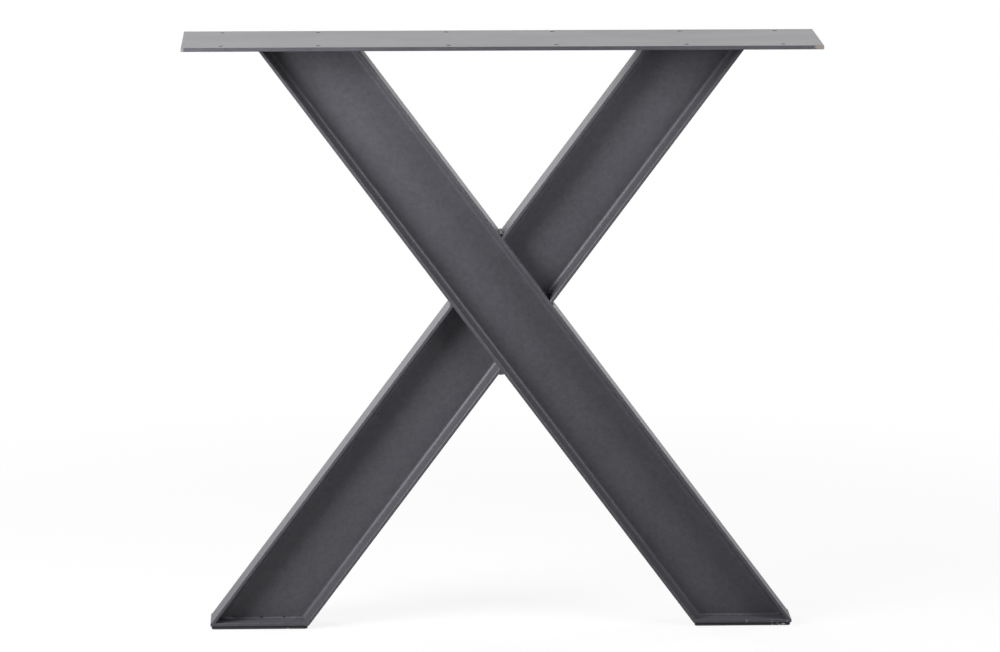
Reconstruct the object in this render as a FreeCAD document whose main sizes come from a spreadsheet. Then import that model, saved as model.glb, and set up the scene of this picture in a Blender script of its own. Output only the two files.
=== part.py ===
import FreeCAD, Part
import math
import os
import re
import Sketcher

# X-shaped table leg of welded steel: two rolled I-beams cross under a drilled top plate.
# One beam runs whole from top left to bottom right. The other is two halves butted against it.
# Millimetres. Origin on the floor under the crossing, +X along the plate, +Y to the rear, +Z up.

doc = FreeCAD.newDocument("x_table_leg")

# Driving dimensions, one cell each
DRIVING_SIZES = {
    "overall_height": 740,
    "plate_length": 785,
    "plate_depth": 160,
    "plate_thickness": 5,
    "hole_diameter": 6,
    "hole_end_inset": 49,
    "hole_middle_offset": 225,
    "hole_inner_offset": 66,
    "hole_edge_inset": 16,
    "leg_angle": 53.3,
    "crossing_height": 411.5,
    "beam_depth": 100,
    "flange_width": 55,
    "flange_thickness": 5.7,
    "web_thickness": 4.1,
    "root_radius": 7,
    "toe_radius": 2,
    "foot_plate_thickness": 4,
    "foot_plate_lip": 1.2,
    "pad_thickness": 4,
    "pad_inset": 1.5,
    "pad_corner_radius": 4,
    "upper_weld_leg": 4.5,
    "lower_weld_leg": 7,
    "side_weld_leg": 3,
    "top_weld_leg": 4,
    "foot_weld_leg": 4,
    "weld_end_inset": 1.5,
}
SAME_PLACE = 0.001

sizes = doc.addObject("Spreadsheet::Sheet", "Sizes")
for row, (alias, value) in enumerate(DRIVING_SIZES.items(), start=1):
    sizes.set(f"A{row}", alias)
    sizes.set(f"B{row}", str(value))
    sizes.setAlias(f"B{row}", alias)
doc.recompute()

SIZE_NAME = re.compile(r"\b(" + "|".join(DRIVING_SIZES) + r")\b")

# Levels and runs that several pieces share. A run is a length measured level along X.
PLATE_UNDERSIDE = "(overall_height - plate_thickness)"
FOOT_PLATE_TOP = "(pad_thickness + foot_plate_thickness)"
HALF_BEAM_RUN = "(beam_depth / 2 / sin(leg_angle))"
INNER_FACE_RUN = "((beam_depth / 2 - flange_thickness) / sin(leg_angle))"
FLAT_WEB_RUN = "((beam_depth / 2 - flange_thickness - root_radius) / sin(leg_angle))"
CLEAR_OF_ALL = "(2 * overall_height)"
RISES_RIGHT = 1
RISES_LEFT = -1


def bind(item, name, text):
    """Tie a property to the sheet, with the sizes in the text written by name."""
    item.setExpression(name, SIZE_NAME.sub(r"Sizes.\1", text))


def axis_x(lean, height):
    """Where a beam's centre line crosses a level."""
    return f"({lean} * ({height} - crossing_height) / tan(leg_angle))"


def new_body(label):
    """A sub-part, named for its file."""
    body = doc.addObject("PartDesign::Body", label)
    body.Label = label
    return body


def sketch_on(body, role, name, level="0"):
    """A sketch on one of the body's own origin planes, raised along the plane's normal."""
    plane = next(feature for feature in body.Origin.OriginFeatures if feature.Role == role)
    sketch = body.newObject("Sketcher::SketchObject", name)
    sketch.AttachmentSupport = [(plane, "")]
    sketch.MapMode = "FlatFace"
    bind(sketch, "AttachmentOffset.Base.z", level)
    return sketch


def fix_point(sketch, geometry, point, across, up):
    """Hold a sketch point at two coordinates worked out from the sheet."""
    spot = sketch.getPoint(geometry, point)
    for kind, start, text in (("DistanceX", spot.x, across), ("DistanceY", spot.y, up)):
        index = sketch.addConstraint(Sketcher.Constraint(kind, geometry, point, start))
        bind(sketch, f"Constraints[{index}]", text)


def draw_outline(sketch, corners):
    """A closed outline of straight edges through the corners."""
    count = len(corners)
    turns = [2 * math.pi * index / count for index in range(count)]
    ring = [FreeCAD.Vector(math.cos(turn), math.sin(turn), 0) for turn in turns]
    for index in range(count):
        sketch.addGeometry(Part.LineSegment(ring[index], ring[(index + 1) % count]))
    for index in range(count):
        sketch.addConstraint(Sketcher.Constraint("Coincident", index, 2, (index + 1) % count, 1))
    for index, (across, up) in enumerate(corners):
        fix_point(sketch, index, 1, across, up)


def draw_circles(sketch, centres, diameter):
    """Equal circles, one at each centre."""
    for index, (across, up) in enumerate(centres):
        start = FreeCAD.Vector(index, 0, 0)
        sketch.addGeometry(Part.Circle(start, FreeCAD.Vector(0, 0, 1), 1))
        size = sketch.addConstraint(Sketcher.Constraint("Diameter", index, 2))
        bind(sketch, f"Constraints[{size}]", diameter)
        fix_point(sketch, index, 3, across, up)


def pad(body, sketch, length, side="One side"):
    """Grow a sketch into a solid."""
    feature = body.newObject("PartDesign::Pad", sketch.Name + "_pad")
    feature.Profile = sketch
    feature.SideType = side
    bind(feature, "Length", length)
    return feature


def pocket(body, sketch, length, side="One side"):
    """Cut a sketch out of the body. One side cuts against the sketch's normal."""
    feature = body.newObject("PartDesign::Pocket", sketch.Name + "_pocket")
    feature.Profile = sketch
    feature.SideType = side
    bind(feature, "Length", length)
    return feature


def long_edges(feature, section, across, along):
    """Names of the edges that run square to a section from the corners at these distances."""
    to_section = section.Placement.inverse()
    names = []
    for number, edge in enumerate(feature.Shape.Edges, start=1):
        first, last = [to_section.multVec(vertex.Point) for vertex in edge.Vertexes]
        square = abs(first.x - last.x) < SAME_PLACE and abs(first.y - last.y) < SAME_PLACE
        placed = abs(abs(first.x) - across) < SAME_PLACE and abs(abs(first.y) - along) < SAME_PLACE
        if square and placed:
            names.append(f"Edge{number}")
    return names


def round_edges(body, name, feature, edges, radius):
    """Round the named edges of a feature."""
    rounding = body.newObject("PartDesign::Fillet", name)
    rounding.Base = (feature, edges)
    bind(rounding, "Radius", radius)
    doc.recompute()
    return rounding


# Beams: a rolled I-section, leaning, with its ends sawn to suit what it is welded to

def beam(label, lean, saw_cuts):
    """An I-beam through the crossing, trimmed by outlines in the front view."""
    body = new_body(label)
    section = sketch_on(body, "XY_Plane", label + "_section", "crossing_height")
    section.AttachmentOffset = FreeCAD.Placement(
        FreeCAD.Vector(), FreeCAD.Rotation(FreeCAD.Vector(0, lean, 0), 90 - sizes.leg_angle))
    bind(section, "AttachmentOffset.Rotation.Angle", "90 - leg_angle")
    outer, inner = "beam_depth / 2", "(beam_depth / 2 - flange_thickness)"
    toe, web_face = "flange_width / 2", "web_thickness / 2"
    outward_in = [(outer, toe), (inner, toe), (inner, web_face)]
    inward_out = outward_in[::-1]
    quarters = ((1, 1, outward_in), (-1, 1, inward_out), (-1, -1, outward_in), (1, -1, inward_out))
    outline = []
    for side, face, corners in quarters:
        outline += [(f"{side} * {across}", f"{face} * {along}") for across, along in corners]
    draw_outline(section, outline)
    bar = pad(body, section, "2 * overall_height / sin(leg_angle)", "Symmetric")
    doc.recompute()

    inner_face = sizes.beam_depth / 2 - sizes.flange_thickness
    roots = long_edges(bar, section, inner_face, sizes.web_thickness / 2)
    rolled = round_edges(body, label + "_roots", bar, roots, "root_radius")
    toes = long_edges(rolled, section, inner_face, sizes.flange_width / 2)
    round_edges(body, label + "_toes", rolled, toes, "toe_radius")

    for number, waste in enumerate(saw_cuts, start=1):
        cut = sketch_on(body, "XZ_Plane", f"{label}_cut_{number}")
        draw_outline(cut, waste)
        pocket(body, cut, "2 * flange_width", "Symmetric")
    return body


def top_cut():
    """Everything above the underside of the top plate."""
    return [
        (f"-{CLEAR_OF_ALL}", PLATE_UNDERSIDE),
        (CLEAR_OF_ALL, PLATE_UNDERSIDE),
        (CLEAR_OF_ALL, f"{PLATE_UNDERSIDE} + {CLEAR_OF_ALL}"),
        (f"-{CLEAR_OF_ALL}", f"{PLATE_UNDERSIDE} + {CLEAR_OF_ALL}"),
    ]


def tip_x(lean):
    """The sharp tip of a foot, where the beam's outer face meets the foot plate."""
    return f"({axis_x(lean, FOOT_PLATE_TOP)} - {lean} * {HALF_BEAM_RUN})"


def inner_face_x(lean, height):
    """Inner face of the flange on the blunt side of a foot."""
    return f"({axis_x(lean, height)} + {lean} * {INNER_FACE_RUN})"


def foot_cut(lean):
    """Everything below the foot: the flange on the blunt side reaches down beside the foot plate."""
    outside_tip = f"{tip_x(lean)} - {lean} * {CLEAR_OF_ALL}"
    outside_heel = f"{tip_x(lean)} + {lean} * {CLEAR_OF_ALL}"
    return [
        (outside_tip, FOOT_PLATE_TOP),
        (inner_face_x(lean, FOOT_PLATE_TOP), FOOT_PLATE_TOP),
        (inner_face_x(lean, "pad_thickness"), "pad_thickness"),
        (outside_heel, "pad_thickness"),
        (outside_heel, f"-{CLEAR_OF_ALL}"),
        (outside_tip, f"-{CLEAR_OF_ALL}"),
    ]


def crossing_cut(side):
    """The through beam and everything beyond it, seen from the half that is kept."""
    near, far = f"{side} * beam_depth / 2", f"-{side} * {CLEAR_OF_ALL}"
    corners = []
    for off, along in ((near, "-1"), (near, "1"), (far, "1"), (far, "-1")):
        run = f"{along} * {CLEAR_OF_ALL}"
        corners.append((
            f"{off} * sin(leg_angle) - {run} * cos(leg_angle)",
            f"crossing_height + {off} * cos(leg_angle) + {run} * sin(leg_angle)",
        ))
    return corners


ABOVE_THROUGH_BEAM = 1
BELOW_THROUGH_BEAM = -1
beam("through_beam", RISES_LEFT, [top_cut(), foot_cut(RISES_LEFT)])
beam("upper_half_beam", RISES_RIGHT, [top_cut(), crossing_cut(ABOVE_THROUGH_BEAM)])
beam("lower_half_beam", RISES_RIGHT, [foot_cut(RISES_RIGHT), crossing_cut(BELOW_THROUGH_BEAM)])


# Top plate: flat bar with two rows of screw holes

plate = new_body("top_plate")
plate_outline = sketch_on(plate, "XY_Plane", "plate_outline", PLATE_UNDERSIDE)
draw_outline(plate_outline, [
    ("-plate_length / 2", "-plate_depth / 2"),
    ("plate_length / 2", "-plate_depth / 2"),
    ("plate_length / 2", "plate_depth / 2"),
    ("-plate_length / 2", "plate_depth / 2"),
])
pad(plate, plate_outline, "plate_thickness")
doc.recompute()

columns = ("(plate_length / 2 - hole_end_inset)", "hole_middle_offset", "hole_inner_offset")
row_offset = "(plate_depth / 2 - hole_edge_inset)"
hole_centres = [
    (f"{across} * {column}", f"{up} * {row_offset}")
    for column in columns for across in (-1, 1) for up in (-1, 1)
]
plate_holes = sketch_on(plate, "XY_Plane", "plate_holes", "overall_height")
draw_circles(plate_holes, hole_centres, "hole_diameter")
pocket(plate, plate_holes, "plate_thickness")


# Feet: a flat plate let in beside the blunt flange, on a rubber pad

def foot_plate(label, lean):
    """The plate runs from just past the sharp tip to the inner face of the other flange."""
    body = new_body(label)
    tip = f"{tip_x(lean)} - {lean} * foot_plate_lip"
    outline = sketch_on(body, "XZ_Plane", label + "_outline")
    draw_outline(outline, [
        (tip, "pad_thickness"),
        (inner_face_x(lean, "pad_thickness"), "pad_thickness"),
        (inner_face_x(lean, FOOT_PLATE_TOP), FOOT_PLATE_TOP),
        (tip, FOOT_PLATE_TOP),
    ])
    pad(body, outline, "flange_width", "Symmetric")


def foot_pad(label, lean):
    """A rounded slab, a little smaller all round than the steel above it."""
    body = new_body(label)
    tip = f"{tip_x(lean)} - {lean} * (foot_plate_lip - pad_inset)"
    heel = f"{axis_x(lean, 'pad_thickness')} + {lean} * ({HALF_BEAM_RUN} - pad_inset)"
    side = "(flange_width / 2 - pad_inset)"
    outline = sketch_on(body, "XY_Plane", label + "_outline")
    draw_outline(outline, [(tip, f"-{side}"), (heel, f"-{side}"), (heel, side), (tip, side)])
    slab = pad(body, outline, "pad_thickness")
    doc.recompute()
    upright = [
        f"Edge{number}" for number, edge in enumerate(slab.Shape.Edges, start=1)
        if abs(edge.BoundBox.ZLength - sizes.pad_thickness) < SAME_PLACE
    ]
    round_edges(body, label + "_corners", slab, upright, "pad_corner_radius")


for side_name, lean in (("left", RISES_RIGHT), ("right", RISES_LEFT)):
    foot_plate(f"{side_name}_foot_plate", lean)
    foot_pad(f"{side_name}_foot_pad", lean)


# Welds: three-sided beads laid into the corners between the pieces

def bead_across(label, corner, legs, leg_length):
    """A bead along Y, in the corner between two faces that leave it in the given directions."""
    body = new_body(label)
    section = sketch_on(body, "XZ_Plane", label + "_section")
    corner_x, corner_z = corner
    toes = [
        (f"{corner_x} + {leg_length} * ({along})", f"{corner_z} + {leg_length} * ({up})")
        for along, up in legs
    ]
    draw_outline(section, [corner] + toes)
    pad(body, section, "flange_width - 2 * weld_end_inset", "Symmetric")


def bead_along_web(label, face, start, level, rise, leg_length):
    """A bead along X, between one face of the web and a level plate."""
    body = new_body(label)
    section = sketch_on(body, "YZ_Plane", label + "_section", start)
    web_face = f"{face} * web_thickness / 2"
    draw_outline(section, [
        (web_face, level),
        (f"{web_face} + {face} * {leg_length}", level),
        (web_face, f"{level} + {rise} * {leg_length}"),
    ])
    pad(body, section, f"2 * {FLAT_WEB_RUN} - {leg_length} / tan(leg_angle)")


UP_LEFT = ("-cos(leg_angle)", "sin(leg_angle)")
UP_RIGHT = ("cos(leg_angle)", "sin(leg_angle)")
DOWN_LEFT = ("-cos(leg_angle)", "-sin(leg_angle)")
DOWN_RIGHT = ("cos(leg_angle)", "-sin(leg_angle)")
LEVEL_LEFT = ("-1", "0")
LEVEL_RIGHT = ("1", "0")
CROSSING_RISE = "beam_depth / 2 / cos(leg_angle)"
FRONT = -1
REAR = 1

bead_across("crossing_weld_top", ("0", f"crossing_height + {CROSSING_RISE}"),
            [UP_RIGHT, UP_LEFT], "upper_weld_leg")
bead_across("crossing_weld_bottom", ("0", f"crossing_height - {CROSSING_RISE}"),
            [DOWN_LEFT, DOWN_RIGHT], "lower_weld_leg")
bead_across("crossing_weld_right", (HALF_BEAM_RUN, "crossing_height"),
            [DOWN_RIGHT, UP_RIGHT], "side_weld_leg")
bead_across("crossing_weld_left", (f"-{HALF_BEAM_RUN}", "crossing_height"),
            [UP_LEFT, DOWN_LEFT], "side_weld_leg")

# The left end of a web bead keeps to the flat of the web, clear of the root radii.
for side_name, lean in (("left", RISES_LEFT), ("right", RISES_RIGHT)):
    top_x = axis_x(lean, PLATE_UNDERSIDE)
    down_beam = DOWN_RIGHT if lean == RISES_LEFT else DOWN_LEFT
    left_corner = (f"{top_x} - {HALF_BEAM_RUN}", PLATE_UNDERSIDE)
    right_corner = (f"{top_x} + {HALF_BEAM_RUN}", PLATE_UNDERSIDE)
    outer_corner, inner_corner = left_corner, right_corner
    outward, inward = LEVEL_LEFT, LEVEL_RIGHT
    if side_name == "right":
        outer_corner, inner_corner = right_corner, left_corner
        outward, inward = LEVEL_RIGHT, LEVEL_LEFT
    bead_across(f"{side_name}_top_weld_outer", outer_corner, [outward, down_beam], "top_weld_leg")
    bead_across(f"{side_name}_top_weld_inner", inner_corner, [inward, down_beam], "top_weld_leg")
    left_level = PLATE_UNDERSIDE if lean == RISES_RIGHT else f"({PLATE_UNDERSIDE} - top_weld_leg)"
    web_start = f"{axis_x(lean, left_level)} - {FLAT_WEB_RUN}"
    for face_name, face in (("front", FRONT), ("rear", REAR)):
        bead_along_web(f"{side_name}_top_weld_{face_name}", face, web_start, PLATE_UNDERSIDE, -1,
                       "top_weld_leg")

for side_name, lean in (("left", RISES_RIGHT), ("right", RISES_LEFT)):
    left_level = FOOT_PLATE_TOP if lean == RISES_LEFT else f"({FOOT_PLATE_TOP} + foot_weld_leg)"
    web_start = f"{axis_x(lean, left_level)} - {FLAT_WEB_RUN}"
    for face_name, face in (("front", FRONT), ("rear", REAR)):
        bead_along_web(f"{side_name}_foot_weld_{face_name}", face, web_start, FOOT_PLATE_TOP, 1,
                       "foot_weld_leg")


# Proof of the model, then one file for each sub-part

doc.recompute()
for item in doc.Objects:
    if {"Invalid", "Error"} & set(item.State):
        raise RuntimeError(f"{item.Label} did not build: {item.State}")
    if item.TypeId == "PartDesign::Pocket" and item.Shape.Volume >= item.BaseFeature.Shape.Volume:
        raise RuntimeError(f"{item.Label} cuts nothing")

sub_parts = [item for item in doc.Objects if item.TypeId == "PartDesign::Body"]
for body in sub_parts:
    if body.Shape.isNull() or not body.Shape.isValid() or len(body.Shape.Solids) != 1:
        raise RuntimeError(f"{body.Label} is not one sound solid")

os.makedirs("parts", exist_ok=True)
for body in sub_parts:
    body.Shape.exportStep(f"parts/{body.Label}.step")
    box = body.Shape.BoundBox
    print(f"{body.Label}: {body.Shape.Volume:.0f} mm3, x {box.XMin:.1f} to {box.XMax:.1f}, "
          f"y {box.YMin:.1f} to {box.YMax:.1f}, z {box.ZMin:.1f} to {box.ZMax:.1f}")
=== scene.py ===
import math

import bmesh
import bpy
from mathutils import Matrix, Vector


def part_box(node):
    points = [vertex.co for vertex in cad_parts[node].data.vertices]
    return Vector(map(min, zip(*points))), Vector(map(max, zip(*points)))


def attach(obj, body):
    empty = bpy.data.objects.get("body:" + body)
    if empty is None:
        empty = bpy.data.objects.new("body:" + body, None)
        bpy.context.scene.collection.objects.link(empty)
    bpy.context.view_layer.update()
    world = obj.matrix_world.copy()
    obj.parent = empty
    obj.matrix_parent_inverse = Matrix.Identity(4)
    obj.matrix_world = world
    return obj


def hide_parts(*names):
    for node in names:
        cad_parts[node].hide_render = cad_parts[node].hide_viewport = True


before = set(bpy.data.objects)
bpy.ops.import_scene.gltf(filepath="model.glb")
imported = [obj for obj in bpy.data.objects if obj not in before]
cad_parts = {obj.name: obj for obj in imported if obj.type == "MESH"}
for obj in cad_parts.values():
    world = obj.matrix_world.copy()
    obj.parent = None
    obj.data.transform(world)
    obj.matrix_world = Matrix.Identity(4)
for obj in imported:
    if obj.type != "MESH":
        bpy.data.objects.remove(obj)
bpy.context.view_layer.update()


# Through beam: a hot-rolled I-beam that runs whole from the top left to the bottom right. Its
# flanges thin out a little to their toes, its ends are sawn level, and the flange on the blunt side
# of the foot laps the foot plate. All the steel is powder coated in satin anthracite after welding.

LEG_ANGLE = math.radians(53.3)
SIN, COS = math.sin(LEG_ANGLE), math.cos(LEG_ANGLE)
CROSSING_HEIGHT = 0.4115
BEAM_DEPTH = 0.100
FLANGE_WIDTH = 0.055
FLANGE_THICKNESS = 0.0057
TOE_THICKNESS = 0.0042
FLANGE_TAPER = 0.11
WEB_THICKNESS = 0.0041
ROOT_RADIUS = 0.005
TOE_RADIUS = 0.0014
ARRIS_RADIUS = 0.0005
BEAM_STOCK = 1.5
TOE_REACH = (FLANGE_WIDTH - WEB_THICKNESS) / 2
ROOT_THICKNESS = TOE_THICKNESS + FLANGE_TAPER * TOE_REACH
PLATE_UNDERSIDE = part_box("top_plate")[0].z
FOOT_PLATE_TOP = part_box("left_foot_plate")[1].z
PAD_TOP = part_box("left_foot_pad")[1].z
RISES_RIGHT = 1
RISES_LEFT = -1
UP = Vector((0, 0, 1))
CROSSING = Vector((0, 0, CROSSING_HEIGHT))
SAME_PLACE = 1e-5
SQUARE_ON = 0.99
SHARP_EDGE = math.radians(40)
SATIN = (0.38, 0.48)
DARK_SPECKLES = ((0.052, 0.051, 0.059, 1), (0.066, 0.065, 0.074, 1))
LIGHT_SPECKLES = ((0.112, 0.109, 0.127, 1), (0.142, 0.139, 0.160, 1))


def feed(tree, socket, value):
    """Set a socket to a value, or link another node's socket to it."""
    if isinstance(value, bpy.types.NodeSocket):
        tree.links.new(value, socket)
    else:
        socket.default_value = value


def add_node(tree, kind, settings=None, **inputs):
    """A shader node with its settings and its inputs, each a value or another node's socket."""
    node = tree.nodes.new(kind)
    for name, value in (settings or {}).items():
        setattr(node, name, value)
    for name, value in inputs.items():
        feed(tree, node.inputs[name.replace("_", " ")], value)
    return node


def blank_material(name):
    """A material with only its output node, which is returned with the tree."""
    material = bpy.data.materials.new(name)
    material.use_nodes = True
    tree = material.node_tree
    tree.nodes.clear()
    return material, tree, tree.nodes.new("ShaderNodeOutputMaterial")


def between(tree, low, high, amount):
    """A number that runs from low to high as amount runs from 0 to 1."""
    node = add_node(tree, "ShaderNodeMapRange", To_Min=low, To_Max=high, Value=amount)
    return node.outputs["Result"]


def mixed(tree, amount, first, second):
    """A colour between two others."""
    node = add_node(tree, "ShaderNodeMix", {"data_type": "RGBA"}, Factor=amount)
    colours = [socket for socket in node.inputs if socket.type == "RGBA"]
    feed(tree, colours[0], first)
    feed(tree, colours[1], second)
    return next(socket for socket in node.outputs if socket.type == "RGBA")


def powder_coat(name, roughness, stretch=(1, 1, 1)):
    """Satin powder coat: a dark cool grey that clouds and speckles a little, over a fine grain."""
    material, tree, output = blank_material(name)
    place = tree.nodes.new("ShaderNodeTexCoord").outputs["Object"]
    drawn_out = add_node(tree, "ShaderNodeMapping", Vector=place, Scale=stretch).outputs["Vector"]
    clouds = add_node(tree, "ShaderNodeTexNoise", Vector=drawn_out, Scale=14.0, Detail=4.0, Roughness=0.6)
    speckles = add_node(tree, "ShaderNodeTexNoise", Vector=drawn_out, Scale=170.0, Detail=4.0,
                        Roughness=0.75)
    grain = add_node(tree, "ShaderNodeTexNoise", Vector=place, Scale=900.0, Detail=3.0, Roughness=0.6)
    cloud = clouds.outputs["Fac"]
    dark, light = mixed(tree, cloud, *DARK_SPECKLES), mixed(tree, cloud, *LIGHT_SPECKLES)
    tone = mixed(tree, speckles.outputs["Fac"], dark, light)
    bump = add_node(tree, "ShaderNodeBump", Strength=0.25, Distance=0.00012, Height=grain.outputs["Fac"])
    coat = add_node(tree, "ShaderNodeBsdfPrincipled", Base_Color=tone,
                    Roughness=between(tree, *roughness, cloud), Specular_IOR_Level=0.45,
                    Normal=bump.outputs["Normal"])
    tree.links.new(coat.outputs["BSDF"], output.inputs["Surface"])
    return material


coated_steel = powder_coat("coated_steel", SATIN)


def work_on(piece):
    """Make a piece the only one selected, and the active one."""
    bpy.ops.object.select_all(action="DESELECT")
    piece.select_set(True)
    bpy.context.view_layer.objects.active = piece


def open_mesh(piece, kind="EDGE"):
    """Go into edit mode on a piece with nothing of it selected."""
    work_on(piece)
    bpy.ops.object.mode_set(mode="EDIT")
    bpy.ops.mesh.select_mode(type=kind)
    bpy.ops.mesh.select_all(action="DESELECT")


def choose(piece, kind, wanted):
    """In edit mode, select just the edges or faces that the test picks."""
    bpy.ops.mesh.select_mode(type=kind)
    bpy.ops.mesh.select_all(action="DESELECT")
    mesh = bmesh.from_edit_mesh(piece.data)
    for item in mesh.edges if kind == "EDGE" else mesh.faces:
        if wanted(item):
            item.select_set(True)
    mesh.select_flush_mode()
    bmesh.update_edit_mesh(piece.data)


def runs_along(edge, across, along):
    """True for an edge whose two ends both stand at these distances from the beam's middle."""
    return all(
        abs(abs(end.co.x) - across) < SAME_PLACE and abs(abs(end.co.y) - along) < SAME_PLACE
        for end in edge.verts
    )


def extrude(by):
    """Extrude what is selected."""
    bpy.ops.mesh.extrude_region_move(TRANSFORM_OT_translate={"value": by})


def outward_normals():
    """Merge the doubles of the open mesh and turn every face outwards."""
    bpy.ops.mesh.select_all(action="SELECT")
    bpy.ops.mesh.remove_doubles(threshold=SAME_PLACE / 10)
    bpy.ops.mesh.normals_make_consistent(inside=False)


def put_in_place(piece, location=(0, 0, 0), turn=(0, 0, 0)):
    """Move a piece and leave its place in its mesh."""
    work_on(piece)
    piece.location = location
    piece.rotation_euler = turn
    bpy.ops.object.transform_apply(location=True, rotation=True, scale=True)


def rolled_beam(name, lean):
    """A length of I-beam through the crossing, leaning to suit its leg and longer than it ends up."""
    bpy.ops.object.select_all(action="DESELECT")
    bpy.ops.mesh.primitive_plane_add(size=1)
    piece = bpy.context.object
    piece.name = piece.data.name = name
    half_depth, half_web = BEAM_DEPTH / 2, WEB_THICKNESS / 2
    root = half_depth - ROOT_THICKNESS
    piece.scale = (2 * root, WEB_THICKNESS, 1)
    put_in_place(piece, (0, 0, -BEAM_STOCK / 2))

    open_mesh(piece)
    for side in (-1, 1):
        choose(piece, "EDGE", lambda edge: all(
            abs(end.co.x - side * root) < SAME_PLACE for end in edge.verts))
        extrude((side * ROOT_THICKNESS, 0, 0))
        for face in (-1, 1):
            choose(piece, "EDGE", lambda edge: all(
                abs(end.co.y - face * half_web) < SAME_PLACE and side * end.co.x > root - SAME_PLACE
                for end in edge.verts))
            extrude((0, face * TOE_REACH, 0))
            bpy.ops.transform.resize(
                value=(TOE_THICKNESS / ROOT_THICKNESS, 1, 1), center_override=(side * half_depth, 0, 0))
    bpy.ops.mesh.select_all(action="SELECT")
    extrude((0, 0, BEAM_STOCK))
    outward_normals()
    bpy.ops.mesh.dissolve_limited(angle_limit=math.radians(0.5))

    for across, along, radius, steps in (
        (root, half_web, ROOT_RADIUS, 10),
        (half_depth - TOE_THICKNESS, FLANGE_WIDTH / 2, TOE_RADIUS, 5),
        (half_depth, FLANGE_WIDTH / 2, ARRIS_RADIUS, 3),
    ):
        choose(piece, "EDGE", lambda edge: edge.calc_length() > 1 and runs_along(edge, across, along))
        bpy.ops.mesh.bevel(offset=radius, segments=steps, profile=0.5, affect="EDGES")
    bpy.ops.object.mode_set(mode="OBJECT")
    put_in_place(piece, CROSSING, (0, lean * (math.pi / 2 - LEG_ANGLE), 0))
    return piece


def saw(piece, point, waste_side):
    """Cut a piece through a plane, drop the side the direction points to, and close the cut."""
    open_mesh(piece)
    bpy.ops.mesh.select_all(action="SELECT")
    bpy.ops.mesh.bisect(plane_co=point, plane_no=waste_side, use_fill=True, clear_outer=True)
    bpy.ops.object.mode_set(mode="OBJECT")


def saw_foot(piece, lean):
    """Cut a beam level on top of the foot plate, then lengthen the blunt flange to the pad."""
    saw(piece, (0, 0, FOOT_PLATE_TOP), -UP)
    down_leg = Vector((-lean * COS, 0, -SIN))
    blunt_side = Vector((lean * SIN, 0, -COS))
    flange_face = CROSSING + (BEAM_DEPTH / 2 - FLANGE_THICKNESS) * blunt_side
    open_mesh(piece, "FACE")
    choose(piece, "FACE", lambda face: face.normal.z < -SQUARE_ON)
    bpy.ops.mesh.bisect(plane_co=flange_face, plane_no=blunt_side)
    choose(piece, "FACE", lambda face: face.normal.z < -SQUARE_ON and (
        face.calc_center_median() - flange_face).dot(blunt_side) > 0)
    extrude(down_leg * (FOOT_PLATE_TOP - PAD_TOP) / SIN)
    bpy.ops.object.mode_set(mode="OBJECT")


def apply_all(piece):
    """Apply a piece's modifiers from first to last."""
    work_on(piece)
    for modifier in list(piece.modifiers):
        bpy.ops.object.modifier_apply(modifier=modifier.name)


def set_in_frame(piece, material, node):
    """Paint a piece, and let it ride and stand for its CAD node."""
    piece.data.materials.clear()
    piece.data.materials.append(material)
    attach(piece, "root")
    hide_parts(node)


def finish_hard(piece, material, node):
    """Shade a hard piece so that its flats stay flat, paint it, and set it in the frame."""
    work_on(piece)
    bpy.ops.object.shade_smooth_by_angle(angle=SHARP_EDGE)
    flats = piece.modifiers.new("flats", "WEIGHTED_NORMAL")
    flats.keep_sharp = True
    apply_all(piece)
    set_in_frame(piece, material, node)


through_beam = rolled_beam("through_i_beam", RISES_LEFT)
saw(through_beam, (0, 0, PLATE_UNDERSIDE), UP)
saw_foot(through_beam, RISES_LEFT)
finish_hard(through_beam, coated_steel, "through_beam")


# Half beams: the other leg is the same I-beam, sawn in two along the faces of the through beam.
# Each half is butted against a flange of the through beam and welded there.

UP_RIGHT = Vector((SIN, 0, COS))

upper_half_beam = rolled_beam("upper_half_i_beam", RISES_RIGHT)
saw(upper_half_beam, (0, 0, PLATE_UNDERSIDE), UP)
saw(upper_half_beam, CROSSING + UP_RIGHT * BEAM_DEPTH / 2, -UP_RIGHT)
finish_hard(upper_half_beam, coated_steel, "upper_half_beam")

lower_half_beam = rolled_beam("lower_half_i_beam", RISES_RIGHT)
saw(lower_half_beam, CROSSING - UP_RIGHT * BEAM_DEPTH / 2, UP_RIGHT)
saw_foot(lower_half_beam, RISES_RIGHT)
finish_hard(lower_half_beam, coated_steel, "lower_half_beam")


# Crossing welds: one pass of weld in each of the four corners of the crossing, laid along the
# depth of the flanges in puddles that overlap like scales. The two in the open Vs are the fattest,
# and the lower of them is flat and runs out flush with the front of the flanges.

UP_LEFT = Vector((-SIN, 0, COS))
DOWN_RIGHT, DOWN_LEFT = -UP_LEFT, -UP_RIGHT
V_RISE = BEAM_DEPTH / 2 / COS
HALF_BEAM_RUN = BEAM_DEPTH / 2 / SIN
TOP_BEAD_RADIUS = 0.0040
TOP_BEAD_RECESS = 0.003
BOTTOM_BEAD_RADIUS = 0.0086
BOTTOM_BEAD_HEIGHT = 0.58
BOTTOM_BEAD_OVERRUN = 0.008
FLUSH_SETBACK = 0.0006
FLUSH_FRONT = (0, -FLANGE_WIDTH / 2 + FLUSH_SETBACK, 0)
SIDE_BEAD_RADIUS = 0.0025
PUDDLE_PITCH = 0.55
PUDDLE_LENGTH = 0.8
PUDDLE_TILT = math.radians(20)
MELT_VOXEL = 0.0004
UNEVEN_SHARE, UNEVEN_LIMIT = 0.35, 0.0011
PINHOLE_RADIUS = 0.0012
PINHOLE_SHAPE = (1.4, 1, 1)
SHARP_RIM = math.radians(50)
BURIED = 0.0002
unsteady_hand = bpy.data.textures.new("unsteady_hand", "CLOUDS")
unsteady_hand.noise_scale = 0.006


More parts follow.
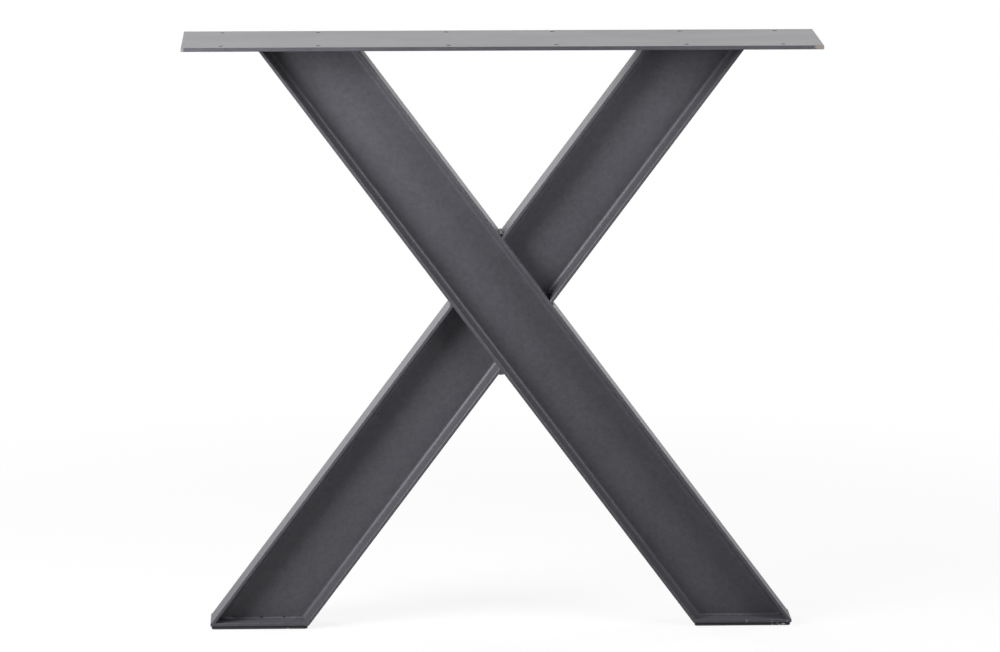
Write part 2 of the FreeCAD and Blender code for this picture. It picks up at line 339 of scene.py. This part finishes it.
def sphere(location, radius, turn=(0, 0, 0), scale=(1, 1, 1)):
    """A sphere or an egg, as the start of a piece."""
    bpy.ops.object.select_all(action="DESELECT")
    bpy.ops.mesh.primitive_uv_sphere_add(
        segments=24, ring_count=14, radius=radius, location=location, rotation=turn, scale=scale)
    bpy.ops.object.transform_apply(location=True, rotation=True, scale=True)
    return bpy.context.object


def weld_run(node, start, end, faces, radius, height=1.0, drops=(), pinholes=(), flush=None,
             material=coated_steel):
    """Overlapping puddles from start to end in the corner between two faces, melted into a bead."""
    along = (end - start).normalized()
    outward = (faces[0] + faces[1]).normalized()
    long_axis = along * math.cos(PUDDLE_TILT) + outward * math.sin(PUDDLE_TILT)
    tall_axis = outward * math.cos(PUDDLE_TILT) - along * math.sin(PUDDLE_TILT)
    turn = Matrix((long_axis, tall_axis.cross(long_axis), tall_axis)).transposed().to_euler()
    half_puddle = PUDDLE_LENGTH * radius
    piece = sphere(start + along * half_puddle, radius, turn, (PUDDLE_LENGTH, 1, height))
    piece.name = piece.data.name = node + "_bead"

    laid = piece.modifiers.new("laid", "ARRAY")
    laid.use_relative_offset = False
    laid.use_constant_offset = True
    laid.constant_offset_displace = along * PUDDLE_PITCH * radius
    laid.count = 1 + int(((end - start).length - 2 * half_puddle) / (PUDDLE_PITCH * radius))
    apply_all(piece)
    for spot, size in drops:
        drop = sphere(spot, 1.0, scale=size)
        work_on(piece)
        drop.select_set(True)
        bpy.ops.object.join()
    melted = piece.modifiers.new("melted", "REMESH")
    melted.mode = "VOXEL"
    melted.voxel_size = MELT_VOXEL
    uneven = piece.modifiers.new("uneven", "DISPLACE")
    uneven.texture = unsteady_hand
    uneven.texture_coords = "LOCAL"
    uneven.strength = min(UNEVEN_SHARE * radius, UNEVEN_LIMIT)
    settled = piece.modifiers.new("settled", "SMOOTH")
    settled.factor = 0.5
    settled.iterations = 2
    apply_all(piece)
    for spot in pinholes:
        pin = sphere(spot, PINHOLE_RADIUS, scale=PINHOLE_SHAPE)
        pinhole = piece.modifiers.new("pinhole", "BOOLEAN")
        pinhole.object = pin
        pinhole.operation = "DIFFERENCE"
        pinhole.solver = "EXACT"
        apply_all(piece)
        bpy.data.objects.remove(pin)
    for face in faces:
        saw(piece, start - BURIED * face, -face)
    if flush:
        saw(piece, flush, -along)
    work_on(piece)
    bpy.ops.object.shade_smooth_by_angle(angle=SHARP_RIM)
    set_in_frame(piece, material, node)


def run_across(node, corner_x, corner_z, faces, radius, recess=0.0, **shape):
    """A weld along the depth of a flange, from front to rear."""
    low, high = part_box(node)
    weld_run(node, Vector((corner_x, low.y + recess, corner_z)), Vector((corner_x, high.y, corner_z)),
             faces, radius, **shape)


run_across("crossing_weld_top", 0, CROSSING_HEIGHT + V_RISE, (UP_RIGHT, UP_LEFT),
           TOP_BEAD_RADIUS, recess=TOP_BEAD_RECESS)
run_across("crossing_weld_bottom", 0, CROSSING_HEIGHT - V_RISE, (DOWN_LEFT, DOWN_RIGHT),
           BOTTOM_BEAD_RADIUS, recess=-BOTTOM_BEAD_OVERRUN, height=BOTTOM_BEAD_HEIGHT, flush=FLUSH_FRONT)
run_across("crossing_weld_right", HALF_BEAM_RUN, CROSSING_HEIGHT, (UP_RIGHT, DOWN_RIGHT), SIDE_BEAD_RADIUS)
run_across("crossing_weld_left", -HALF_BEAM_RUN, CROSSING_HEIGHT, (UP_LEFT, DOWN_LEFT), SIDE_BEAD_RADIUS)


# Top plate: flat steel bar, sawn to length and drilled for screws in two rows of six.
# The coat lies smoother on it than on the beams, and has come off at the right front corner,
# down to brown primer. The left front corner shows a small patch of pale grey.

plate_low, plate_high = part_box("top_plate")
PLATE_ARRIS = 0.0008
HOLE_RADIUS = 0.003
HOLE_CHAMFER = 0.0004
HOLE_END_INSET, HOLE_EDGE_INSET = 0.049, 0.016
HOLE_MIDDLE_OFFSET, HOLE_INNER_OFFSET = 0.225, 0.066
HOLE_COLUMNS = (plate_high.x - HOLE_END_INSET, HOLE_MIDDLE_OFFSET, HOLE_INNER_OFFSET)
HOLE_ROW = plate_high.y - HOLE_EDGE_INSET
SMOOTH_SATIN = (0.30, 0.44)
DRAWN_ALONG = (0.5, 1.2, 1)
BROWN_PRIMER = (0.30, 0.25, 0.22, 1)
PRIMER_SPOT, PRIMER_REACH = (plate_high.x, plate_low.y, 0.741), (0.0125, 0.0075, 0.009)
PALE_CORNER_GREY = (0.21, 0.21, 0.21, 1)
PALE_CORNER_SPOT, PALE_CORNER_REACH = (plate_low.x, plate_low.y, 0.7385), (0.0034, 0.003, 0.012)
RAGGEDNESS = 0.9
RIM_START, RIM_END = 1.06, 0.94
WEAR_AND_SHADE_DARKENING = 0.8
WEAR_AND_SHADE_ROUGHNESS = 0.7


def combine(tree, operation, first, second, kind="ShaderNodeMath"):
    """The outcome of one sum on two numbers or two vectors, each a value or a socket."""
    node = add_node(tree, kind, {"operation": operation})
    feed(tree, node.inputs[0], first)
    feed(tree, node.inputs[1], second)
    return node.outputs[0]


def length_of(tree, vector):
    """The length of a vector."""
    node = add_node(tree, "ShaderNodeVectorMath", {"operation": "LENGTH"}, Vector=vector)
    return node.outputs["Value"]


def wear_and_shade_patch(material, centre, reach, colour):
    """Show another colour round a point, with a ragged rim at its reach. It marks worn coat, and also
    paints the shade in the weld pinholes.
    """
    tree = material.node_tree
    coat = next(node for node in tree.nodes if node.type == "BSDF_PRINCIPLED")
    coat_colour, coat_roughness = coat.inputs["Base Color"], coat.inputs["Roughness"]
    place = tree.nodes.new("ShaderNodeTexCoord").outputs["Object"]
    offset = combine(tree, "SUBTRACT", place, centre, "ShaderNodeVectorMath")
    share = combine(tree, "DIVIDE", offset, reach, "ShaderNodeVectorMath")
    ragged = add_node(tree, "ShaderNodeTexNoise", Vector=place, Scale=420.0, Detail=4.0,
                      Roughness=0.7).outputs["Fac"]
    edge = combine(tree, "ADD", length_of(tree, share), between(tree, -RAGGEDNESS, RAGGEDNESS, ragged))
    wear_and_shade_mask = add_node(tree, "ShaderNodeMapRange", {"interpolation_type": "SMOOTHSTEP"},
                   From_Min=RIM_START, From_Max=RIM_END, Value=edge).outputs["Result"]
    darker = [WEAR_AND_SHADE_DARKENING * part for part in colour[:3]] + [1]
    wear_and_shade_colour = mixed(tree, ragged, darker, colour)
    feed(tree, coat_colour, mixed(tree, wear_and_shade_mask, coat_colour.links[0].from_socket, wear_and_shade_colour))
    rough = add_node(tree, "ShaderNodeMix", Factor=wear_and_shade_mask, A=coat_roughness.links[0].from_socket,
                     B=WEAR_AND_SHADE_ROUGHNESS)
    feed(tree, coat_roughness, rough.outputs[0])


def block(name, low, high):
    """A box between two corners, as the start of a piece."""
    bpy.ops.object.select_all(action="DESELECT")
    bpy.ops.mesh.primitive_cube_add(size=1)
    piece = bpy.context.object
    piece.name = piece.data.name = name
    piece.scale = Vector(high) - Vector(low)
    put_in_place(piece, (Vector(low) + Vector(high)) / 2)
    return piece


top_plate = block("drilled_top_plate", plate_low, plate_high)
open_mesh(top_plate)
bpy.ops.mesh.select_all(action="SELECT")
bpy.ops.mesh.bevel(offset=PLATE_ARRIS, segments=3, profile=0.5, affect="EDGES")
bpy.ops.object.mode_set(mode="OBJECT")

spots = [Vector((side * column, row, (plate_low.z + plate_high.z) / 2))
         for row in (-HOLE_ROW, HOLE_ROW) for column in HOLE_COLUMNS for side in (-1, 1)]
bpy.ops.object.select_all(action="DESELECT")
bpy.ops.mesh.primitive_cylinder_add(
    vertices=32, radius=HOLE_RADIUS, depth=plate_high.z - plate_low.z - 2 * HOLE_CHAMFER)
drill = bpy.context.object
put_in_place(drill, spots[0])
open_mesh(drill, "FACE")
flare = 1 + 2 * HOLE_CHAMFER / HOLE_RADIUS
for end in (-1, 1):
    choose(drill, "FACE", lambda face: face.normal.z * end > SQUARE_ON)
    extrude((0, 0, 2 * end * HOLE_CHAMFER))
    bpy.ops.transform.resize(value=(flare, flare, 1), center_override=spots[0])
bpy.ops.mesh.select_all(action="SELECT")
for last, spot in zip(spots, spots[1:]):
    bpy.ops.mesh.duplicate_move(TRANSFORM_OT_translate={"value": spot - last})
bpy.ops.object.mode_set(mode="OBJECT")
holes = top_plate.modifiers.new("holes", "BOOLEAN")
holes.object = drill
holes.operation = "DIFFERENCE"
holes.solver = "EXACT"
apply_all(top_plate)
bpy.data.objects.remove(drill)

coated_plate = powder_coat("coated_plate", SMOOTH_SATIN, DRAWN_ALONG)
wear_and_shade_patch(coated_plate, PRIMER_SPOT, PRIMER_REACH, BROWN_PRIMER)
wear_and_shade_patch(coated_plate, PALE_CORNER_SPOT, PALE_CORNER_REACH, PALE_CORNER_GREY)
finish_hard(top_plate, coated_plate, "top_plate")


# Top welds: each beam is welded all round to the underside of the plate, along both flanges
# and both sides of the web.

FRONT, REAR = Vector((0, -1, 0)), Vector((0, 1, 0))
OUTER_BEAD_RADIUS = 0.0032
INNER_BEAD_RADIUS = 0.0036
WEB_BEAD_RADIUS = 0.0032


def run_along_web(node, face, level, plate_face, radius, run_on=(0.0, 0.0), **details):
    """A weld from left to right between a side of the web and a level plate, run on into the flanges."""
    low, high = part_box(node)
    seam_y = face.y * WEB_THICKNESS / 2
    weld_run(node, Vector((low.x - run_on[0], seam_y, level)), Vector((high.x + run_on[1], seam_y, level)),
             (face, plate_face), radius, **details)


for side_name, lean, outer, inner in (
    ("left", RISES_LEFT, DOWN_LEFT, UP_RIGHT), ("right", RISES_RIGHT, DOWN_RIGHT, UP_LEFT),
):
    beam_x = lean * (PLATE_UNDERSIDE - CROSSING_HEIGHT) / math.tan(LEG_ANGLE)
    outer_x, inner_x = beam_x + lean * HALF_BEAM_RUN, beam_x - lean * HALF_BEAM_RUN
    run_across(f"{side_name}_top_weld_outer", outer_x, PLATE_UNDERSIDE, (-UP, outer), OUTER_BEAD_RADIUS)
    run_across(f"{side_name}_top_weld_inner", inner_x, PLATE_UNDERSIDE, (-UP, inner), INNER_BEAD_RADIUS)
    for face_name, face in (("front", FRONT), ("rear", REAR)):
        run_along_web(f"{side_name}_top_weld_{face_name}", face, PLATE_UNDERSIDE, -UP, WEB_BEAD_RADIUS)


# Foot plates: flat steel let in between the flanges of each beam end, on top of the pads. The blunt
# end is cut to the slope of the flange and runs in behind its round toe. The right one is nicked
# through its coat in three places on the front edge.

LET_IN = 0.0030
BARE_STEEL = (0.34, 0.34, 0.35, 1)
NICK_DEPTH = 0.002
coated_foot_plate = powder_coat("coated_foot_plate", SATIN)
for x, z, width, height in (
    (0.3078, 0.0065, 0.0007, 0.0022),
    (0.3395, 0.0047, 0.0011, 0.0007),
    (0.3588, 0.0056, 0.0010, 0.0009),
):
    wear_and_shade_patch(coated_foot_plate, (x, -FLANGE_WIDTH / 2, z), (width, NICK_DEPTH, height), BARE_STEEL)
for side_name, lean in (("left", RISES_RIGHT), ("right", RISES_LEFT)):
    low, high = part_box(f"{side_name}_foot_plate")
    blunt_end = (high.x if lean == RISES_RIGHT else low.x) + lean * LET_IN
    low.x, high.x = min(low.x, blunt_end), max(high.x, blunt_end)
    foot_plate = block(f"{side_name}_sole_plate", low, high)
    open_mesh(foot_plate)
    choose(foot_plate, "EDGE", lambda edge: all(
        abs(end.co.x - blunt_end) < SAME_PLACE and abs(end.co.z - low.z) < SAME_PLACE
        for end in edge.verts))
    bpy.ops.transform.translate(value=(-lean * (high.z - low.z) / math.tan(LEG_ANGLE), 0, 0))
    bpy.ops.mesh.select_all(action="SELECT")
    bpy.ops.mesh.bevel(offset=ARRIS_RADIUS, segments=3, profile=0.5, affect="EDGES")
    bpy.ops.object.mode_set(mode="OBJECT")
    finish_hard(foot_plate, coated_foot_plate, f"{side_name}_foot_plate")


# Foot welds: a thin pass on each side of the web where it stands on the foot plate, run on into the
# corners. The one at the front left has two pinholes where gas escaped, and a drop of weld in the
# narrow corner. The hollows of the two pinholes are painted near-black: painted shade.

FOOT_BEAD_RADIUS = 0.0026
PINHOLES = [Vector((x, -0.0034, FOOT_PLATE_TOP + 0.0026)) for x in (-0.3003, -0.2716)]
PIT_REACH = (0.0025, 0.0024, 0.0015)
# Near-black painted shade for the hollows of the pinholes.
PIT_SHADE_BLACK = (0.010, 0.010, 0.011, 1)
CORNER_DROP = (Vector((-0.3455, -0.0030, FOOT_PLATE_TOP + 0.0010)), (0.0100, 0.0060, 0.0031))
pit_shaded_weld = powder_coat("pit_shaded_weld", SATIN)
# Paint the pinholes near-black: painted shade where their hollows fall into shade.
for spot in PINHOLES:
    wear_and_shade_patch(pit_shaded_weld, spot, PIT_REACH, PIT_SHADE_BLACK)
front_details = {
    "left": {"drops": [CORNER_DROP], "pinholes": PINHOLES, "material": pit_shaded_weld},
    "right": {},
}
for side_name, run_on in (("left", (0.0095, 0.009)), ("right", (0.009, 0.0095))):
    run_along_web(f"{side_name}_foot_weld_rear", REAR, FOOT_PLATE_TOP, UP, FOOT_BEAD_RADIUS, run_on)
    run_along_web(f"{side_name}_foot_weld_front", FRONT, FOOT_PLATE_TOP, UP, FOOT_BEAD_RADIUS, run_on,
                  **front_details[side_name])


# Foot pads: dark rubber glued under each foot, cut a little smaller than the steel. The right one
# is scuffed pale at its outer front end, and the left one has a nick in its lower front edge.

PAD_CORNER_RADIUS = 0.004
PAD_ARRIS = 0.0006
PAD_FRONT = -0.026
DARK_RUBBER = ((0.052, 0.052, 0.053, 1), (0.094, 0.094, 0.096, 1))
PALE_SCUFF = (0.62, 0.62, 0.60, 1)
SCUFF_DEPTH = 0.003


def moulded_rubber(name):
    """Matt dark rubber with a fine grain."""
    material, tree, output = blank_material(name)
    place = tree.nodes.new("ShaderNodeTexCoord").outputs["Object"]
    patches = add_node(tree, "ShaderNodeTexNoise", Vector=place, Scale=60.0, Detail=4.0, Roughness=0.6)
    grain = add_node(tree, "ShaderNodeTexNoise", Vector=place, Scale=1400.0, Detail=2.0)
    tone = mixed(tree, patches.outputs["Fac"], *DARK_RUBBER)
    bump = add_node(tree, "ShaderNodeBump", Strength=0.4, Distance=0.00015, Height=grain.outputs["Fac"])
    rubber = add_node(tree, "ShaderNodeBsdfPrincipled", Base_Color=tone,
                      Roughness=between(tree, 0.62, 0.78, patches.outputs["Fac"]),
                      Specular_IOR_Level=0.25, Normal=bump.outputs["Normal"])
    tree.links.new(rubber.outputs["BSDF"], output.inputs["Surface"])
    return material


pad_rubber = moulded_rubber("pad_rubber")
for x, z, width, height in (
    (0.3540, 0.0019, 0.0022, 0.0013),
    (0.3491, 0.0010, 0.0013, 0.0007),
    (0.3462, 0.0031, 0.0016, 0.0006),
    (0.3402, 0.0013, 0.0011, 0.0006),
    (-0.2673, 0.0004, 0.0014, 0.0007),
):
    wear_and_shade_patch(pad_rubber, (x, PAD_FRONT, z), (width, SCUFF_DEPTH, height), PALE_SCUFF)
for side_name in ("left", "right"):
    low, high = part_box(f"{side_name}_foot_pad")
    pad = block(f"{side_name}_rubber_pad", low, high)
    open_mesh(pad)
    choose(pad, "EDGE", lambda edge: abs(edge.verts[0].co.z - edge.verts[1].co.z) > SAME_PLACE)
    bpy.ops.mesh.bevel(offset=PAD_CORNER_RADIUS, segments=6, profile=0.5, affect="EDGES")
    choose(pad, "EDGE", lambda edge: abs(edge.verts[0].co.z - edge.verts[1].co.z) < SAME_PLACE)
    bpy.ops.mesh.bevel(offset=PAD_ARRIS, segments=3, profile=0.5, affect="EDGES")
    bpy.ops.object.mode_set(mode="OBJECT")
    finish_hard(pad, pad_rubber, f"{side_name}_foot_pad")


# Studio: a pale floor that fades into a white background. Two soft boxes stand near the front, the
# stronger one on the left, three stand behind, and the room adds a faint even fill. The camera looks
# down a little from the front, from far off with a long lens.

FILL_STRENGTH = 0.03
FRONT_STRENGTH = 0.25
LAMP_TARGET = Vector((0, 0, 0.42))
FLOOR_RADIUS = 1.6
FLOOR_LEVEL = -0.0005
FADE_START, FADE_END = 0.45, 0.95 * FLOOR_RADIUS
LEAST_WHITE = 0.85
FLOOR_BOUNCE = (0.38, 0.38, 0.38, 1)
WHITE = (1, 1, 1, 1)
CAMERA_PLACE = (-0.21816, -6.50781, 1.57590)
CAMERA_DIP, CAMERA_ROLL, CAMERA_PAN = 10.413, -0.011, -1.9089
CAMERA_LENS = 191.37

world = bpy.data.worlds.new("white_studio")
world.use_nodes = True
tree = world.node_tree
tree.nodes.clear()
path = tree.nodes.new("ShaderNodeLightPath")
direction = tree.nodes.new("ShaderNodeTexCoord").outputs["Generated"]
depth = add_node(tree, "ShaderNodeSeparateXYZ", Vector=direction).outputs["Y"]
room = add_node(tree, "ShaderNodeMapRange", From_Min=-0.2, From_Max=0.2,
                To_Min=FRONT_STRENGTH, To_Max=1.0, Value=depth).outputs["Result"]
mirrored = combine(tree, "MULTIPLY", path.outputs["Is Glossy Ray"], room)
seen = combine(tree, "MAXIMUM", path.outputs["Is Camera Ray"], mirrored)
sky = add_node(tree, "ShaderNodeBackground", Color=WHITE,
               Strength=combine(tree, "MAXIMUM", seen, FILL_STRENGTH))
tree.links.new(sky.outputs[0], tree.nodes.new("ShaderNodeOutputWorld").inputs["Surface"])
bpy.context.scene.world = world

# Each soft box: degrees to the right of the front, degrees up, metres away, width, height, watts.
for name, turn, rise, reach, width, height, watts in (
    ("key_soft_box", -57, 24, 1.15, 0.55, 0.7, 16.2),
    ("fill_soft_box", 57, 28, 1.15, 0.55, 0.7, 7.6),
    ("rear_left_soft_box", -130, 30, 1.6, 0.7, 0.7, 9.0),
    ("rear_right_soft_box", 130, 30, 1.6, 0.7, 0.7, 6.0),
    ("rear_strip", 180, 30, 1.6, 2.4, 0.5, 1.7),
):
    lamp = bpy.data.lights.new(name, "AREA")
    lamp.shape = "RECTANGLE"
    lamp.size, lamp.size_y = width, height
    lamp.energy = watts
    stand = bpy.data.objects.new(name, lamp)
    bpy.context.scene.collection.objects.link(stand)
    turn, rise = math.radians(turn), math.radians(rise)
    level_reach = reach * math.cos(rise)
    offset = Vector((level_reach * math.sin(turn), -level_reach * math.cos(turn), reach * math.sin(rise)))
    stand.location = LAMP_TARGET + offset
    stand.rotation_euler = (-offset).to_track_quat("-Z", "Y").to_euler()

bpy.ops.object.select_all(action="DESELECT")
bpy.ops.mesh.primitive_circle_add(
    vertices=96, radius=FLOOR_RADIUS, fill_type="NGON", location=(0, 0, FLOOR_LEVEL))
floor = bpy.context.object
floor.name = "floor"
floor_paint, tree, output = blank_material("pale_floor")
place = tree.nodes.new("ShaderNodeTexCoord").outputs["Object"]
away = add_node(tree, "ShaderNodeMapRange", {"interpolation_type": "SMOOTHSTEP"},
                From_Min=FADE_START, From_Max=FADE_END, Value=length_of(tree, place)).outputs["Result"]
seen = tree.nodes.new("ShaderNodeLightPath").outputs["Is Camera Ray"]
matt = add_node(tree, "ShaderNodeBsdfDiffuse", Color=mixed(tree, seen, FLOOR_BOUNCE, WHITE))
white = add_node(tree, "ShaderNodeEmission", Color=WHITE, Strength=1.0)
fade = combine(tree, "MULTIPLY", seen, between(tree, LEAST_WHITE, 1.0, away))
blend = tree.nodes.new("ShaderNodeMixShader")
tree.links.new(fade, blend.inputs[0])
tree.links.new(matt.outputs[0], blend.inputs[1])
tree.links.new(white.outputs[0], blend.inputs[2])
tree.links.new(blend.outputs[0], output.inputs["Surface"])
floor.data.materials.append(floor_paint)

camera = bpy.data.cameras.new("camera")
camera.sensor_fit = "HORIZONTAL"
camera.sensor_width = 36.0
camera.lens = CAMERA_LENS
tripod = bpy.data.objects.new("camera", camera)
bpy.context.scene.collection.objects.link(tripod)
tripod.location = CAMERA_PLACE
tripod.rotation_euler = [math.radians(angle) for angle in (90 - CAMERA_DIP, CAMERA_ROLL, CAMERA_PAN)]
bpy.context.scene.camera = tripod
bpy.context.scene.view_settings.view_transform = "Standard"
